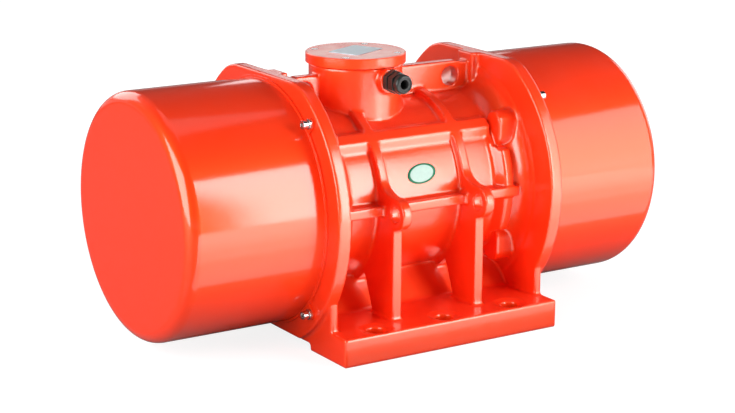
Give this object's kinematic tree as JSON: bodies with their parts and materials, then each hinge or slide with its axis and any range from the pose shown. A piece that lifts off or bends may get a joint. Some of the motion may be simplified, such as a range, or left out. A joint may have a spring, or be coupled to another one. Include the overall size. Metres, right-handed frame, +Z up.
{
  "type": "vibration motor",
  "caption": "Foot-mounted rotary vibration motor: ribbed cast housing, roller-bearing shaft with adjustable eccentric weights under drawn covers, and a round terminal box.",
  "frame": {"origin": "on the plane of the feet, midway between the six foot bolt holes", "axes": "+X along the shaft, -Y towards the cable gland, +Z up"},
  "size_m": [0.692, 0.364, 0.3443],
  "materials": {
    "red_enamel": "glossy orange-red enamel",
    "stainless": "bright stainless",
    "plate_aluminium": "satin, bare",
    "electrical_steel": "stacked sheet edges",
    "winding_copper": "varnished copper wire",
    "cast_aluminium": "as cast",
    "ground_steel": "ground",
    "key_steel": "drawn bar",
    "bearing_steel": "polished",
    "cast_iron": "primed grey casting",
    "black_steel": "black oxide",
    "brass": "machined",
    "gasket_rubber": "moulded",
    "board_plastic": "moulded phenolic",
    "gland_nylon": "moulded nylon"
  },
  "bodies": {
    "housing": {"housing_barrel": "red_enamel", "left_end_flange": "red_enamel", "right_end_flange": "red_enamel", "front_foot": "red_enamel", "back_foot": "red_enamel", "foot_walls": "red_enamel", "foot_gussets": "red_enamel", "lifting_webs": "red_enamel", "terminal_box_foot": "red_enamel", "terminal_box": "red_enamel", "stator_core": "electrical_steel", "stator_windings": "winding_copper", "terminal_board": "board_plastic", "terminal_studs": "brass", "terminal_nuts": "brass", "gland_body": "gland_nylon", "gland_nut": "gland_nylon", "gland_seal": "gasket_rubber", "lid_gasket": "gasket_rubber", "left_bearing_outer_ring": "bearing_steel", "left_bearing_bracket": "cast_iron", "left_bearing_cap": "cast_iron", "left_bracket_bolts": "black_steel", "left_cap_screws": "black_steel", "left_cover_seal": "gasket_rubber", "right_bearing_outer_ring": "bearing_steel", "right_bearing_bracket": "cast_iron", "right_bearing_cap": "cast_iron", "right_bracket_bolts": "black_steel", "right_cap_screws": "black_steel", "right_cover_seal": "gasket_rubber"},
    "rotor": {"shaft": "ground_steel", "shaft_keys": "key_steel", "rotor_core": "electrical_steel", "rotor_end_rings": "cast_aluminium", "left_bearing_inner_ring": "bearing_steel", "left_fixed_weight": "cast_iron", "left_retaining_ring": "black_steel", "right_bearing_inner_ring": "bearing_steel", "right_fixed_weight": "cast_iron", "right_retaining_ring": "black_steel"},
    "box_lid": {"terminal_box_lid": "red_enamel", "lid_screws": "stainless", "nameplate": "plate_aluminium"},
    "left_roller_cage": {"left_bearing_cage": "brass", "left_bearing_rollers": "bearing_steel"},
    "left_set_weight": {"left_adjustable_weight": "cast_iron", "left_clamp_bolt": "black_steel"},
    "left_weight_cover": {"left_cover": "red_enamel", "left_cover_washers": "stainless", "left_cover_screws": "stainless"},
    "right_roller_cage": {"right_bearing_cage": "brass", "right_bearing_rollers": "bearing_steel"},
    "right_set_weight": {"right_adjustable_weight": "cast_iron", "right_clamp_bolt": "black_steel"},
    "right_weight_cover": {"right_cover": "red_enamel", "right_cover_washers": "stainless", "right_cover_screws": "stainless"}
  },
  "joints": [
    {"name": "shaft_spin", "type": "hinge", "parent": "housing", "child": "rotor", "pos_m": [0, 0, 0.169], "axis": [1, 0, 0], "continuous": true},
    {"name": "left_cage_roll", "type": "hinge", "parent": "housing", "child": "left_roller_cage", "pos_m": [-0.165, 0, 0.169], "axis": [1, 0, 0], "continuous": true},
    {"name": "left_weight_adjust", "type": "hinge", "parent": "rotor", "child": "left_set_weight", "pos_m": [-0.274, 0, 0.169], "axis": [1, 0, 0], "range_deg": [0, 180]},
    {"name": "left_cover_removal", "type": "slide", "parent": "housing", "child": "left_weight_cover", "axis": [-1, 0, 0], "range_m": [0, 0.2]},
    {"name": "right_cage_roll", "type": "hinge", "parent": "housing", "child": "right_roller_cage", "pos_m": [0.165, 0, 0.169], "axis": [1, 0, 0], "continuous": true},
    {"name": "right_weight_adjust", "type": "hinge", "parent": "rotor", "child": "right_set_weight", "pos_m": [0.274, 0, 0.169], "axis": [1, 0, 0], "range_deg": [0, 180]},
    {"name": "right_cover_removal", "type": "slide", "parent": "housing", "child": "right_weight_cover", "axis": [1, 0, 0], "range_m": [0, 0.2]},
    {"name": "lid_lift", "type": "slide", "parent": "housing", "child": "box_lid", "axis": [0, 0, 1], "range_m": [0, 0.06]}
  ],
  "couplings": [
    {"joint": "left_cage_roll", "follows": "shaft_spin", "ratio": 0.39897},
    {"joint": "right_cage_roll", "follows": "shaft_spin", "ratio": 0.39897}
  ]
}
